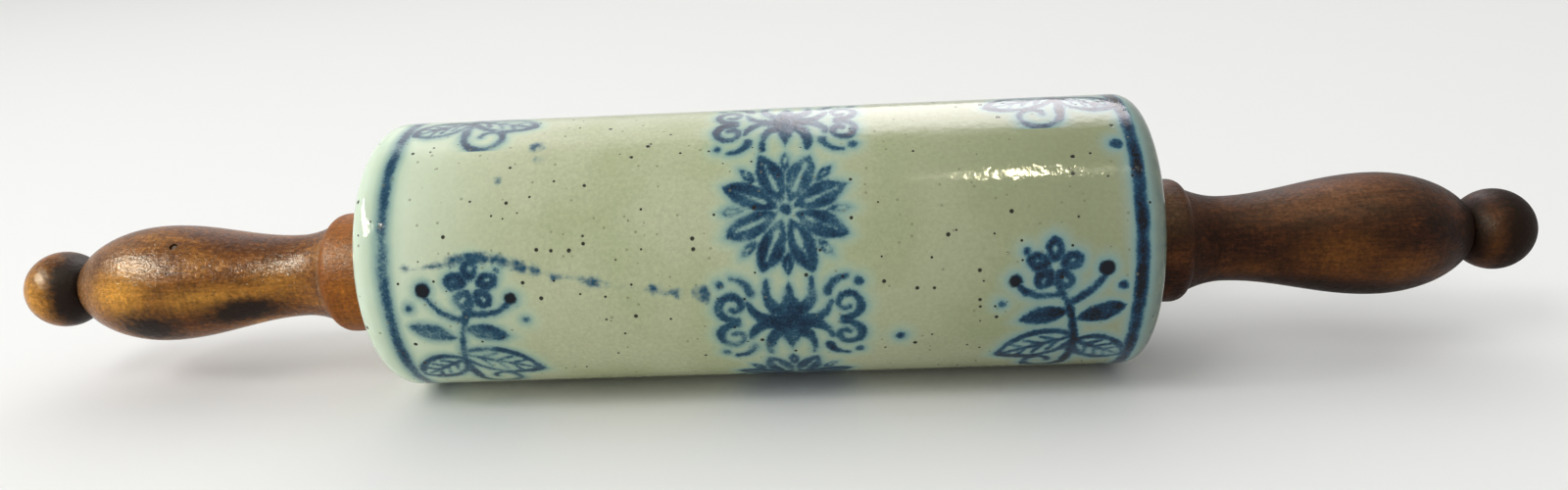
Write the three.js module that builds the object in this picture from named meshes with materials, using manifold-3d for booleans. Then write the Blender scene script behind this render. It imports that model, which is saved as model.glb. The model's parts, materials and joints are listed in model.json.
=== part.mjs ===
// Stoneware rolling pin. A heavy glazed barrel turns loosely on a wooden rod, and the rod is
// tenoned into two turned wooden handles and pinned there by a brad in each bulb.
// Millimetres, +X along the pin, +Z up, origin on the table below the middle of the pin.

import * as THREE from 'three';
import { mergeVertices } from 'three/addons/utils/BufferGeometryUtils.js';
import Module from 'manifold-3d';

// Barrel
const BARREL_LENGTH = 203.5;
const BARREL_DIAMETER = 74;
const SHOULDER_RADIUS = 5.25;
const BORE_DIAMETER = 22.6;
const BORE_LIP_RADIUS = 3;

// Rod, and how far the socket's end stays from the handle's groove
const ROD_DIAMETER = 14;
const TENON_CHAMFER = 1.5;
const SOCKET_END_WOOD = 15;

// Handle, in the order of its turned lengths from the collar's inner face outwards
const COLLAR_BAND_LENGTH = 9.6;
const COLLAR_DIAMETER = 34;
const COLLAR_CHAMFER = 0.8;
const COLLAR_ROUND_LENGTH = 3.5;
const COLLAR_FOOT_DIAMETER = 29.2;
const NECK_LENGTH = 11.5;
const WAIST_DIAMETER = 23.4;
const SWELL_LENGTH = 40;
const BULB_DIAMETER = 33.4;
const TAPER_LENGTH = 23.4;
const BULB_RIM_DIAMETER = 16;
const GROOVE_LENGTH = 0.6;
const GROOVE_DIAMETER = 11.2;
const BALL_DIAMETER = 22;
const BALL_LENGTH = 20;

// The left handle's socket is bored a little off centre and out of line, so that handle sits lower
// than the rod's axis and droops from it
const LEFT_HANDLE_DROP = 0.7;
const LEFT_HANDLE_DROOP = THREE.MathUtils.degToRad(1.4);

// Headless brad that pins each tenon: its own size, and its place from the tenon's end
const BRAD_DIAMETER = 1.5;
const BRAD_LENGTH = 18;
const BRAD_POINT = 2.5;
const BRAD_SET_DEPTH = 0.5;
const BRAD_FROM_TENON_END = 17.6;
const BRAD_CLOCK = THREE.MathUtils.degToRad(55);

// End play of the barrel between the collars, as it lies with the barrel slid to the right
const LEFT_END_GAP = 6.1;
const RIGHT_END_GAP = 0.5;

// Clearance wherever one piece lies in or on another
const FIT_GAP = 0.3;

// Facets round each turned form, and steps along its curves
const BARREL_SIDES = 48;
const HANDLE_SIDES = 36;
const ROD_SIDES = 32;
const BRAD_SIDES = 12;
const CORNER_STEPS = 5;
const ROUND_STEPS = 8;
const CURVE_STEPS = 12;
const BALL_STEPS = 12;

// Places that follow from the sizes
const barrelRadius = BARREL_DIAMETER / 2;
const boreRadius = BORE_DIAMETER / 2;
const rodRadius = ROD_DIAMETER / 2;
const ballRadius = BALL_DIAMETER / 2;
const ballReach = BALL_LENGTH / 2;
const grooveRadius = GROOVE_DIAMETER / 2;

const neckStart = COLLAR_BAND_LENGTH + COLLAR_ROUND_LENGTH;
const waistAt = neckStart + NECK_LENGTH;
const widestAt = waistAt + SWELL_LENGTH;
const rimAt = widestAt + TAPER_LENGTH;
const grooveAt = rimAt + GROOVE_LENGTH;
const ballCentre = grooveAt + ballReach * Math.sqrt(1 - (grooveRadius / ballRadius) ** 2);
const tenonLength = grooveAt - SOCKET_END_WOOD;
const bradAt = tenonLength - BRAD_FROM_TENON_END;

const leftSeat = { drop: LEFT_HANDLE_DROP, droop: LEFT_HANDLE_DROOP };
const rightSeat = { drop: 0, droop: 0 };

const rodSpan = LEFT_END_GAP + BARREL_LENGTH + RIGHT_END_GAP;
const barrelCentre = (LEFT_END_GAP - RIGHT_END_GAP) / 2;

// The barrel lies on one of its facets, and the rod lies on the bottom of the bore
const barrelAxisHeight = barrelRadius * Math.cos(Math.PI / BARREL_SIDES);
const rodDrop = boreRadius - rodRadius - FIT_GAP;
const rodAxisHeight = barrelAxisHeight - rodDrop;

const wasm = await Module();
wasm.setup();

// Joins shared corners and drops triangles that closed up on the axis
function closed(geometry) {
  const bare = geometry.clone();
  bare.deleteAttribute('normal');
  bare.deleteAttribute('uv');
  const merged = mergeVertices(bare, 1e-4);
  const corners = merged.index.array;
  const kept = [];
  for (let i = 0; i < corners.length; i += 3) {
    const [a, b, c] = [corners[i], corners[i + 1], corners[i + 2]];
    if (a !== b && b !== c && c !== a) {
      kept.push(a, b, c);
    }
  }
  merged.setIndex(kept);
  merged.computeVertexNormals();
  return merged;
}

function toSolid(geometry) {
  const shape = closed(geometry);
  const vertProperties = new Float32Array(shape.attributes.position.array);
  const triVerts = new Uint32Array(shape.index.array);
  return new wasm.Manifold(new wasm.Mesh({ numProp: 3, vertProperties, triVerts }));
}

function toGeometry(solid) {
  const { vertProperties, triVerts } = solid.getMesh();
  const geometry = new THREE.BufferGeometry();
  geometry.setAttribute('position', new THREE.BufferAttribute(vertProperties, 3));
  geometry.setIndex(Array.from(triVerts));
  geometry.computeVertexNormals();
  return geometry;
}

// Turns a profile of [place along the axis, radius] points about the X axis, with a facet
// square to each of the Y and Z directions
function turned(profile, sides) {
  const points = profile.map(([along, radius]) => new THREE.Vector2(radius, along));
  const geometry = new THREE.LatheGeometry(points, sides, Math.PI / sides);
  return geometry.rotateZ(-Math.PI / 2);
}

// Points on a quarter round in a profile, from one angle to another in degrees
function arc(along, radius, size, from, to) {
  const points = [];
  for (let step = 0; step <= CORNER_STEPS; step += 1) {
    const angle = THREE.MathUtils.degToRad(from + ((to - from) * step) / CORNER_STEPS);
    points.push([along + size * Math.cos(angle), radius + size * Math.sin(angle)]);
  }
  return points;
}

// Points of a curve in a profile, without its first point
function curve(steps, pointAt) {
  return Array.from({ length: steps }, (_, step) => pointAt((step + 1) / steps));
}

// The barrel's section runs along the outside, over both shoulders, and back through the bore
function barrelGeometry() {
  const half = BARREL_LENGTH / 2;
  const shoulder = SHOULDER_RADIUS;
  const lip = BORE_LIP_RADIUS;
  const profile = [
    ...arc(-half + shoulder, barrelRadius - shoulder, shoulder, 180, 90),
    ...arc(half - shoulder, barrelRadius - shoulder, shoulder, 90, 0),
    ...arc(half - lip, boreRadius + lip, lip, 0, -90),
    ...arc(-half + lip, boreRadius + lip, lip, -90, -180),
  ];
  profile.push(profile[0]);
  return turned(profile, BARREL_SIDES);
}

// Collar with a quarter round edge, neck drawn in from the round's foot to the waist, swelling bulb
// that closes as an ellipse, sharp groove and slightly flattened ball end
function handleProfile() {
  const collarRadius = COLLAR_DIAMETER / 2;
  const footRadius = COLLAR_FOOT_DIAMETER / 2;
  const waistRadius = WAIST_DIAMETER / 2;
  const bulbRadius = BULB_DIAMETER / 2;
  const rimRadius = BULB_RIM_DIAMETER / 2;
  const bulbReach = TAPER_LENGTH / Math.sqrt(1 - (rimRadius / bulbRadius) ** 2);
  const ballStart = Math.PI - Math.asin(grooveRadius / ballRadius);

  const round = curve(ROUND_STEPS, (t) => [
    COLLAR_BAND_LENGTH + COLLAR_ROUND_LENGTH * Math.sin((Math.PI / 2) * t),
    footRadius + (collarRadius - footRadius) * Math.cos((Math.PI / 2) * t),
  ]);
  const neck = curve(CORNER_STEPS, (t) => [
    neckStart + NECK_LENGTH * t,
    waistRadius + (footRadius - waistRadius) * (1 - t) ** 2,
  ]);
  const swell = curve(CURVE_STEPS, (t) => [
    waistAt + SWELL_LENGTH * t,
    waistRadius + (bulbRadius - waistRadius) * (0.5 - 0.5 * Math.cos(Math.PI * t)),
  ]);
  const taper = curve(CURVE_STEPS, (t) => [
    widestAt + TAPER_LENGTH * t,
    bulbRadius * Math.sqrt(1 - ((TAPER_LENGTH * t) / bulbReach) ** 2),
  ]);
  const ball = curve(BALL_STEPS, (t) => [
    ballCentre + ballReach * Math.cos(ballStart * (1 - t)),
    ballRadius * Math.sin(ballStart * (1 - t)),
  ]);
  return [
    [0, 0],
    [0, collarRadius - COLLAR_CHAMFER],
    [COLLAR_CHAMFER, collarRadius],
    [COLLAR_BAND_LENGTH, collarRadius],
    ...round,
    ...neck,
    ...swell,
    ...taper,
    [grooveAt, grooveRadius],
    ...ball,
  ];
}

// The bulb's radius where the brad goes in
function bulbRadiusAt(along) {
  const profile = handleProfile();
  const next = profile.findIndex(([place], i) => i > 1 && place >= along);
  const [[a, ra], [b, rb]] = [profile[next - 1], profile[next]];
  return ra + ((rb - ra) * (along - a)) / (b - a);
}

// How far above the rod's axis the brad's top lies, along the brad, in a handle that sits lower
function bradTop(seat) {
  const radius = bulbRadiusAt(bradAt);
  const drop = seat.drop + bradAt * Math.sin(seat.droop);
  const sideways = drop * Math.cos(BRAD_CLOCK);
  return Math.sqrt(radius ** 2 - sideways ** 2) - drop * Math.sin(BRAD_CLOCK) - BRAD_SET_DEPTH;
}

// Puts a form turned along X onto the brad's line, which crosses the rod's axis at its place
function ontoBradLine(geometry) {
  const outwards = new THREE.Vector3(0, Math.cos(BRAD_CLOCK), Math.sin(BRAD_CLOCK));
  const turn = new THREE.Quaternion().setFromUnitVectors(new THREE.Vector3(1, 0, 0), outwards);
  return geometry.applyQuaternion(turn).translate(bradAt, 0, 0);
}

function bradGeometry(seat) {
  const radius = BRAD_DIAMETER / 2;
  const top = bradTop(seat);
  const tip = top - BRAD_LENGTH;
  const profile = [[tip, 0], [tip + BRAD_POINT, radius], [top, radius], [top, 0]];
  return ontoBradLine(turned(profile, BRAD_SIDES));
}

// The brad's hole goes on out through the bulb's skin
function bradHole(seat) {
  const radius = BRAD_DIAMETER / 2 + FIT_GAP;
  const bottom = bradTop(seat) - BRAD_LENGTH - FIT_GAP;
  const mouth = BULB_DIAMETER;
  const profile = [[bottom, 0], [bottom, radius], [mouth, radius], [mouth, 0]];
  return toSolid(ontoBradLine(turned(profile, BRAD_SIDES)));
}

// A handle on a rod whose axis runs along +X, with the collar's face at the origin
function handleGeometry(seat) {
  const radius = rodRadius + FIT_GAP;
  const mouth = -COLLAR_DIAMETER / 2;
  const depth = tenonLength + FIT_GAP;
  const socket = toSolid(turned([[mouth, 0], [mouth, radius], [depth, radius], [depth, 0]], ROD_SIDES));
  const form = turned(handleProfile(), HANDLE_SIDES).rotateY(seat.droop).translate(0, 0, -seat.drop);
  return toGeometry(toSolid(form).subtract(socket).subtract(bradHole(seat)));
}

// The rod with chamfered tenon ends, drilled for both brads
function rodGeometry() {
  const end = rodSpan / 2 + tenonLength;
  const chamfer = TENON_CHAMFER;
  const profile = [
    [-end, 0],
    [-end, rodRadius - chamfer],
    [-end + chamfer, rodRadius],
    [end - chamfer, rodRadius],
    [end, rodRadius - chamfer],
    [end, 0],
  ];
  const leftHole = bradHole(leftSeat).translate([rodSpan / 2, 0, 0]).rotate([0, 0, 180]);
  const rightHole = bradHole(rightSeat).translate([rodSpan / 2, 0, 0]);
  return toGeometry(toSolid(turned(profile, ROD_SIDES)).subtract(leftHole).subtract(rightHole));
}

const GLAZE = { color: 0xc6ccb0, roughness: 0.25, metalness: 0 };
const ROD_WOOD = { color: 0xa98a5e, roughness: 0.7, metalness: 0 };
const GOLDEN_WOOD = { color: 0x96652f, roughness: 0.45, metalness: 0 };
const BROWN_WOOD = { color: 0x634028, roughness: 0.5, metalness: 0 };
const IRON = { color: 0x2f2b28, roughness: 0.6, metalness: 0.9 };

function piece(name, geometry, finish) {
  const mesh = new THREE.Mesh(closed(geometry), new THREE.MeshStandardMaterial(finish));
  mesh.name = name;
  return mesh;
}

const barrel = piece('stoneware_barrel', barrelGeometry(), GLAZE);
barrel.position.set(barrelCentre, 0, barrelAxisHeight);

const leftEnd = new THREE.Group();
leftEnd.position.set(-rodSpan / 2, 0, 0);
leftEnd.rotation.z = Math.PI;
leftEnd.add(
  piece('left_handle', handleGeometry(leftSeat), GOLDEN_WOOD),
  piece('left_handle_brad', bradGeometry(leftSeat), IRON),
);

const rightEnd = new THREE.Group();
rightEnd.position.set(rodSpan / 2, 0, 0);
rightEnd.add(
  piece('right_handle', handleGeometry(rightSeat), BROWN_WOOD),
  piece('right_handle_brad', bradGeometry(rightSeat), IRON),
);

const rodAndHandles = new THREE.Group();
rodAndHandles.position.set(0, 0, rodAxisHeight);
rodAndHandles.add(piece('axle_rod', rodGeometry(), ROD_WOOD), leftEnd, rightEnd);

const rollingPin = new THREE.Group();
rollingPin.name = 'rolling_pin';
rollingPin.add(barrel, rodAndHandles);

export default rollingPin;
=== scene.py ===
"""Looks of a stoneware rolling pin: a glazed barrel with cobalt painting, and turned wooden handles."""
import json
import math
from functools import reduce

import bpy
import numpy as np
from mathutils import Matrix, Vector


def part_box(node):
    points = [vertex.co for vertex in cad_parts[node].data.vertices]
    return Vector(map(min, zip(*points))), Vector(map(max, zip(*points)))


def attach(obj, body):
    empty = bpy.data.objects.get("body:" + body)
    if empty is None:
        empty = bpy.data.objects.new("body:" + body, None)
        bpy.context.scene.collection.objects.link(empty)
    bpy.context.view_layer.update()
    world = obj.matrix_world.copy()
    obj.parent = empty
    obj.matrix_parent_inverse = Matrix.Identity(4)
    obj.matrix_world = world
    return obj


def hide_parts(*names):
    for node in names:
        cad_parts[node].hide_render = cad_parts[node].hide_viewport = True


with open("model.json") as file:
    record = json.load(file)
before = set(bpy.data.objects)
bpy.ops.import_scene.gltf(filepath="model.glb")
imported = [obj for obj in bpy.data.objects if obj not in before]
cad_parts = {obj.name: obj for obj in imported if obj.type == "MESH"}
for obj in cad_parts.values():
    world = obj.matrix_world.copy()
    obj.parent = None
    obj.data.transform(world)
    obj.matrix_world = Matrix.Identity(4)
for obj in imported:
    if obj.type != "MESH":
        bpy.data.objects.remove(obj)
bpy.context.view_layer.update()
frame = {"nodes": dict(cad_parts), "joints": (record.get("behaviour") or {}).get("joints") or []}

# Sizes are in millimetres and angles in degrees, unless a comment says metres
MM = 0.001

# The camera, with the image taken as 1600 pixels wide
IMAGE_WIDTH = 1600
FOCAL_PIXELS = 1037.4
SENSOR_WIDTH = 36.0
CAMERA_AT = (23.8, -267.6, 135.9)
CAMERA_PAN = -3.129
CAMERA_TILT = -20.526
CAMERA_ROLL = -3.161
CAMERA_NEAR = 10.0

# The barrel's rounding and how finely it is meshed
SHOULDER_RADIUS = 5.25
LIP_RADIUS = 3.0
BARREL_SIDES = 360
PAINTED_STEP = 0.62
PLAIN_STEP = 2.2
PAINTED_SPANS = ((-95.5, -52.0), (-9.5, 27.5), (56.0, 96.0))
SHOULDER_STEPS = 10
FACE_STEPS = 4
LIP_STEPS = 6
BORE_STEPS = 8

# The glaze's waves: how deep they are, and the length, turns round the barrel and start of each
WAVINESS = 0.05
GLAZE_WAVES = ((21.0, 2, 0.0), (13.0, -3, 1.0), (34.0, 5, 0.0))

# Where along the barrel from its middle the glaze pales and is painted lit, and is painted shaded: the start
# of each change and its length
PALER_AND_LIT_FROM = -50.0
PALER_AND_LIT_OVER = 50.0
PAINTED_SHADE_FROM = -60.0
PAINTED_SHADE_OVER = 140.0
RIGHT_END_SHADE_FROM = 95.0
RIGHT_END_SHADE_OVER = 3.0

# The painting on the barrel, along it from its middle and round it in degrees up from the front
STRIPES = (-92.5, 94.8)
STRIPE_HALF_WIDTH = 1.45
BAND_AT = 9.0
BAND_REPEATS = 4
BAND_START = 32.0
SPRIG_AT = (-73.0, 76.5)
SPRIG_REPEATS = 3
SPRIG_START = -14.0
MOTIF_REACH = 27.0
FAR_AWAY = 6.0

# The smear of cobalt, through points along the barrel, round it and with a half-width, and stray dots
SMEAR = (
    (-87.0, 15.0, 0.3), (-84.5, 14.1, -0.6), (-78.0, 15.4, 0.2), (-74.1, 16.9, 0.9), (-68.1, 17.9, 1.1),
    (-63.0, 16.8, 0.9), (-60.8, 16.0, 1.4), (-57.0, 13.4, 0.9), (-55.8, 12.8, -0.6), (-54.2, 12.2, 1.0),
    (-51.5, 10.9, -0.8), (-49.2, 9.6, 0.9), (-45.5, 9.4, -0.7), (-41.5, 7.4, 0.4), (-39.5, 6.8, 1.2),
    (-35.2, 5.2, -0.6), (-28.0, 3.6, -1.0), (-24.3, 2.7, 1.2), (-22.0, 2.2, -1.0), (-18.8, 1.2, 1.0),
    (-16.2, 0.9, -1.2), (-12.6, 1.4, 1.5), (-12.2, -1.5, 1.2),
)
FAINT_DOTS = ((-55.3, 66.1, 1.5), (-54.0, 58.6, 0.9), (-63.7, 49.1, 0.4))
STRAY_DOTS = ((36.7, -22.3, 1.5), (91.0, 55.0, 1.5))

# How leaves and petals are drawn: veins have half-widths at their start and end
LEAF_OUTLINE = 0.9
LEAF_RIB = (0.8, 0.45)
LEAF_VEIN = (0.55, 0.4)
LEAF_VEIN_SHARES = (0.22, 0.42, 0.62)
LEAF_VEIN_LEAN = 0.17
LEAF_VEIN_REACH = 0.62
PETAL_VEIN = (0.42, 0.15)
PETAL_VEIN_INSET = 3.5

# How many steps a bent path and a curl have
BEND_STEPS = 10
CURL_STEPS = 22

# The rosette: petals and the sepals between their tips, each with its root, tip and half-width
ROSETTE_COUNT = 8
ROSETTE_PETAL = (2.2, 16.8, 3.35)
ROSETTE_SEPAL = (10.5, 16.2, 1.2)
ROSETTE_HEART = 1.5

# The palmette, drawn in one quarter: bent strokes have three points and half-widths at both ends
PALMETTE_BUD = ((0.0, -10.5), (0.0, 10.5), 3.0)
PALMETTE_STROKES = (
    (((1.8, 0.0), (8.5, -0.5), (10.4, 5.4)), (2.3, 0.7)),
    (((2.6, 3.4), (6.4, 5.2), (5.6, 11.6)), (1.8, 0.7)),
    (((9.6, 8.4), (10.4, 12.0), (14.4, 12.4)), (1.25, 0.6)),
)
PALMETTE_CURL = ((14.2, 4.8), 4.4, -100.0, 1.1, 0.25)
PALMETTE_CURL_WIDTH = (1.2, 0.8)
PALMETTE_DOT = ((17.2, 10.8), 1.1)

# The sprig: leaves have a root, a tip and a half-width, and dots and berries a middle and a radius
SPRIG_STEMS = (
    (((-3.0, -19.5), (-5.6, -4.0), (2.0, 9.0)), (1.2, 0.9)),
    (((-1.4, 3.8), (-7.0, 6.0), (-9.6, 11.2)), (1.0, 0.75)),
    (((0.4, 6.0), (8.0, 4.6), (11.4, 8.6)), (1.0, 0.75)),
)
SPRIG_VEINED_LEAVES = (((-3.9, -9.5), (-17.0, -17.6), 4.8), ((-3.8, -7.5), (15.0, -15.4), 5.2))
SPRIG_FULL_LEAVES = (((-3.2, -1.5), (-15.0, 2.5), 2.6), ((-1.6, 1.5), (11.0, -1.6), 2.7))
SPRIG_CURL = ((3.4, -20.6), 6.4, 172.0, 1.0, 0.3)
SPRIG_CURL_WIDTH = (1.0, 0.75)
SPRIG_DOTS = (((-14.0, 8.0), 1.0), ((15.4, 3.6), 0.9), ((9.4, 17.4), 0.95))
SPRIG_BERRIES = (((-9.9, 12.6), 2.0), ((12.2, 9.8), 1.7))
BLOSSOM_AT = (2.6, 13.4)
BLOSSOM_COUNT = 5
BLOSSOM_PETAL = (1.2, 7.2, 2.4)

# The turned handles, along each from its collar's face
COLLAR_BAND = 9.6
COLLAR_RADIUS = 17.0
COLLAR_ROUNDING = 0.8
COLLAR_ROUND = 3.5
COLLAR_FOOT_RADIUS = 14.6
CREASE_WIDTH = 0.7
CREASE_DEPTH = 0.3
NECK_LENGTH = 11.5
WAIST_RADIUS = 11.7
SWELL_LENGTH = 40.0
BULB_RADIUS = 16.7
TAPER_LENGTH = 23.4
BULB_RIM_RADIUS = 8.0
GROOVE_LENGTH = 0.6
GROOVE_RADIUS = 5.6
BALL_RADIUS = 11.0
BALL_REACH = 10.0
LEFT_DROP = 0.7
LEFT_DROOP = 1.4

# How finely the handles are meshed
HANDLE_SIDES = 112
CURVE_STEPS = 34
CORNER_STEPS = 5
COLLAR_FACE_STEPS = 5
COLLAR_STEP = 1.2
NECK_FIRST = 3
NECK_STRIDE = 2
GROOVE_SHARES = (0.4, 0.75)
SHARP_ANGLE = 38.0

# The bores in the handles: the brads' turn round the rod, and how far the cutters reach
SOCKET_GAP = 0.3
SOCKET_OVERCUT = 5.0
BRAD_CLOCK = 55.0
BRAD_CUT = (-8.0, 30.0)
CUTTER_SIDES = 48

# Wear, soiling, painted shade, painted light and painted sheen on the handles: spots along each, round it in
# degrees, their length, width and strength
ALL_ROUND = 1000.0
LEFT_WEAR_AND_PAINTED_LIGHT = {
    "grime_and_shade": (
        # Painted shade in the groove and over the ball beside it
        (91.0, 0.0, 4.2, ALL_ROUND, 1.5),
        (65.0, -37.0, 9.5, 26.0, 1.5),
        (38.0, -30.0, 10.5, 20.0, 1.75),
        (56.0, 55.0, 3.0, 9.0, 0.8),
        # Painted shade over the top of the bulb
        (48.0, 75.0, 24.0, 30.0, 0.5),
    ),
    "rubbed_and_lit": (
        (71.0, 2.0, 9.0, 24.0, 1.15),
        (46.0, -6.0, 15.0, 13.0, 0.7),
        (27.0, 5.0, 9.0, 24.0, 0.4),
        # Painted light on the ball's outer side
        (101.0, -6.0, 6.0, 46.0, 1.0),
    ),
    "dust_and_sheen": (
        (83.0, 0.0, 5.0, ALL_ROUND, 0.9),
        # Painted highlight: a thin light ring beside the crease
        (13.9, 0.0, 0.8, ALL_ROUND, 0.9),
        # Painted sheen over the top of the bulb
        (72.0, 62.0, 11.0, 26.0, 0.6),
    ),
}
RIGHT_WEAR_AND_PAINTED_LIGHT = {
    "grime_and_shade": (
        # Painted shade in the groove
        (87.0, 0.0, 4.6, ALL_ROUND, 1.5),
        # Darker round the neck beside the collar, above and below
        (19.0, 15.0, 9.0, 55.0, 0.8),
        (17.0, -55.0, 9.0, 30.0, 1.0),
        # Painted shade over the ball's outer part
        (103.0, 0.0, 8.2, ALL_ROUND, 2.0),
        # Painted shade along the bulb's underside
        (56.0, -47.0, 30.0, 18.0, 1.0),
    ),
    "rubbed_and_lit": (
        (50.0, -2.0, 11.0, 26.0, 0.8),
        (66.0, -14.0, 9.0, 16.0, 0.85),
        (30.0, -22.0, 8.0, 14.0, 0.5),
        # Painted light on the ball
        (93.0, 5.0, 2.4, 50.0, 0.5),
    ),
    # Painted sheen on the top of the collar and of the bulb
    "dust_and_sheen": ((6.0, 55.0, 6.0, 30.0, 0.5), (48.0, 62.0, 24.0, 24.0, 0.35)),
}
FRESH_COLLAR = 13.6

# Colours as sRGB, 0 to 255
GLAZE_GREY = (176, 184, 143)
GLAZE_WARM = (189, 194, 159)
# Painted light: a cream brightening over the left part of the barrel
GLAZE_CREAM_PAINTED_LIGHT = (222, 224, 196)
GLAZE_PALE = (223, 241, 217)
GLAZE_MINT = (178, 204, 176)
# The halo's colour in the painted shade towards the right
MINT_IN_PAINTED_SHADE = (142, 166, 160)
# Painted shade: the glaze darker towards the right of the barrel
GLAZE_IN_PAINTED_SHADE = (122, 128, 97)
# Painted shade over the right end of the barrel
GLAZE_RIGHT_END_SHADE = (88, 104, 100)
COBALT_WASH = (112, 154, 156)
COBALT_MID = (44, 88, 110)
COBALT_DEEP = (12, 48, 74)
COBALT_POOL = (3, 10, 20)
IRON_SPECK = (24, 19, 13)
FAINT_SPECK = (116, 118, 90)
BARE_CLAY = (190, 172, 138)
GOLDEN = ((66, 34, 12), (106, 60, 20), (138, 84, 28), (178, 118, 38))
# The right handle's darker tones: partly its own wood, partly painted shade
BROWN_PARTLY_SHADED = ((26, 12, 6), (50, 25, 12), (72, 38, 17), (100, 58, 30))
ROD_PALE = (190, 152, 104)
ROD_DEEP = (138, 100, 60)
# Soiling, dark pores and painted shade on the handles
GRIME_AND_SHADE = (25, 11, 3)
# Wear on the varnish, and painted light on the balls
GOLDEN_RUBBED_AND_LIT = (228, 160, 62)
BROWN_RUBBED_AND_LIT = (112, 68, 26)
# A dull tan near the bulb's end, and painted sheen and highlight on the handles
DUST_AND_SHEEN = (164, 120, 80)
COLLAR_ORANGE = (148, 83, 20)
IRON_DARK = (44, 40, 38)
IRON_RUST = (84, 56, 40)
FLOOR_PALE = (240, 240, 238)
BACKDROP = (240, 240, 238)

# How strongly the glaze's colours, its painted light and its painted shade show where they are full
CREAM_PAINTED_LIGHT_SHARE = 0.6
PAINTED_SHADE_SHARE = 0.66
HALO_SHARE = 0.6
BLEED_SHARE = 0.55
FAINT_SPECK_SHARE = 0.55
IRON_SPECK_SHARE = 0.95

# How the cobalt lies: from where outside a mark to where inside it the colour grows
HALO_EDGE = (4.5, 0.2)
BLEED_EDGE = (2.2, 0.0)
BRUSH_EDGE = (0.95, -0.9)
STRIPE_EDGE = (1.3, -1.4)
SMEAR_EDGE = (1.8, -0.9)
POOL_EDGE = (0.3, -0.6)

# How far the cobalt's edges stray, from one mm to the next and with the unsteady hand
BRUSH_RAGGED = 0.95
BRUSH_UNSTEADY = 1.5
STRIPE_UNSTEADY = 0.6
SMEAR_RAGGED = 1.9

# How much cobalt the brush left, and at which loads the ink has its four colours
BRUSH_LOAD = 0.76
# Darker ink towards the right: more ink from the brush, and painted shade
PAINTED_SHADE_LOAD = 0.5
STRIPE_LOAD = 1.2
STRIPE_THINNED = 0.38
SMEAR_LOAD = 0.58
INK_LOADS = (0.0, 0.38, 0.7, 1.0)

# Specks in the glaze: their spacing and radius, and the share of places that have one
FAINT_SPECKS = (2.6, 0.45, 0.34)
SMALL_SPECKS = (3.1, 0.4, 0.26)
LARGE_SPECKS = (3.9, 0.64, 0.2)
SPECK_CORE = 0.7

# Relief in mm of the glaze and the wood
RIPPLE_RELIEF = 0.12
PEEL_RELIEF = 0.09
PIT_RELIEF = -0.16
GRIT_RELIEF = 0.2
FLECK_RELIEF = 0.15
PORE_RELIEF = -0.06
BLOTCH_RELIEF = 0.2
TURNING_RELIEF = 0.05
ROD_RELIEF = 0.15
IRON_RELIEF = 0.05

# How the wood's tone adds up, the stops of its four tones, and how strongly its wear, soiling and painted
# shade show
CLOUD_TONE = 0.9
FLAME_TONE = 0.35
FIBRE_TONE = 0.3
FLECK_TONE = 0.5
WOOD_STOPS = (0.05, 0.4, 0.65, 0.95)
FRESH_SHARE = 0.75
PORE_SHARE = 0.4
GRIME_AND_SHADE_SHARE = 0.98
GRIME_AND_SHADE_FIBRE = 0.5
GRIME_AND_SHADE_MIDDLE = 0.77
GRIME_AND_SHADE_UNEVEN = 1.7
ROD_FIBRE_TONE = 0.6
ROD_CLOUD_TONE = 0.6

# How rough and how reflective the surfaces are
GLAZE_SPECULAR = 0.2
CLAY_ROUGHER = 0.7
GOLDEN_ROUGHNESS = 0.14
GOLDEN_SPECULAR = 0.15
BROWN_ROUGHNESS = 0.32
BROWN_SPECULAR = 0.08
BROWN_SHIFT = (40.0, 17.0, 9.0)
FLECKS_ROUGHER = 0.15
WEAR_ROUGHER = 0.2
IRON_METALLIC = 0.8
FLOOR_ROUGHNESS = 0.9
NOISE_BULK = (0.3, 0.7)

# The floor's half-width, in metres
FLOOR_HALF = 4.0

# The light from all round, which is brighter from behind, above and the left
SKY_TOWARDS = (-0.4, 0.75, 0.5)
SKY_RANGE = (-0.6, 0.8)
SKY_LIGHT = (0.3, 1.08)

# Soft lamps that don't show as reflections: name, place and size in metres, and watts
LAMP_AIM = (0.0, 0.0, 0.03)
SOFT_LAMPS = (
    ("back", (-0.2, 1.0, 1.2), (1.6, 0.8), 1.8),
    ("key", (-1.65, -0.5, 1.15), (0.24, 0.24), 4.0),
    ("fill", (-0.5, -0.48, 0.88), (0.4, 0.4), 2.4),
)

# Lamps that only show as reflections: the same, with a colour and the point that each faces
SMALL_LAMP_AT = (0.231, -0.334, 0.893)
SMALL_LAMP_AIM = (0.231, 0.0, 0.03)
SHOWN_LAMPS = (
    ("left_pane", (-0.8, -0.45, 0.7), (0.7, 0.16), 36.0, (1.0, 0.93, 0.74), LAMP_AIM),
    ("small_lamp", SMALL_LAMP_AT, (0.045, 0.1), 2.5, (1.0, 0.9, 0.6), SMALL_LAMP_AIM),
    ("lamp_glow", SMALL_LAMP_AT, (0.24, 0.08), 0.3, (1.0, 0.95, 0.75), SMALL_LAMP_AIM),
)

# The bright strip behind the pin: its height in degrees from low to high, and how bright it is there
STRIP_AT = -0.155
STRIP_WIDTH = 1.6
STRIP_DISTANCE = 1.73
STRIP_HEIGHT = (14.0, 78.0)
STRIP_LIGHT = (1.6, 13.5)
STRIP_FADE = 0.4
STRIP_DIM_SHARE = 0.28
STRIP_DIM_FROM = (0.52, 0.36)
STRIP_COLOUR = (1.0, 0.94, 0.95)

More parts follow.
